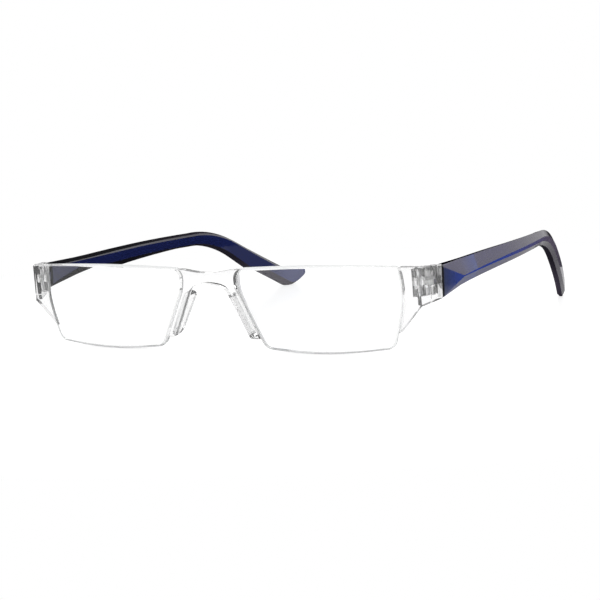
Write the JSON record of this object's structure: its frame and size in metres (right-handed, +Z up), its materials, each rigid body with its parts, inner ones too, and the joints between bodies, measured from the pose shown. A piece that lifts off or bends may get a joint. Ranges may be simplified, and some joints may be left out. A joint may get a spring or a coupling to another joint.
{
  "type": "reading glasses",
  "caption": "Rimless reading glasses with clear half-height lenses, a clear bridge with nose rests, clear hinge corners and translucent blue folding temples.",
  "frame": {"origin": "the middle of the bottom of the box round the open glasses, on the floor that the lenses and the temple tips stand on", "axes": "+X to the wearer's left, -Y the way the wearer looks, +Z up"},
  "size_m": [0.1384, 0.1441, 0.0265],
  "materials": {
    "clear_frame": "clear moulded plastic, polished",
    "lens": "clear optical plastic, polished",
    "screw": "bright machined",
    "temple": "translucent dark blue plastic, polished"
  },
  "bodies": {
    "front": {"bridge": "clear_frame", "nose_rest_left": "clear_frame", "nose_rest_right": "clear_frame", "lens_left": "lens", "lens_right": "lens", "endpiece_left": "clear_frame", "endpiece_right": "clear_frame", "hinge_screw_left": "screw", "hinge_screw_right": "screw"},
    "temple_left": {"temple_left": "temple"},
    "temple_right": {"temple_right": "temple"}
  },
  "joints": [
    {"name": "hinge_left", "type": "hinge", "parent": "front", "child": "temple_left", "pos_m": [0.0653, -0.0607, 0.0205], "axis": [0, 0, 1], "range_deg": [0, 84]},
    {"name": "hinge_right", "type": "hinge", "parent": "front", "child": "temple_right", "pos_m": [-0.0653, -0.0607, 0.0205], "axis": [0, 0, -1], "range_deg": [0, 69]}
  ]
}
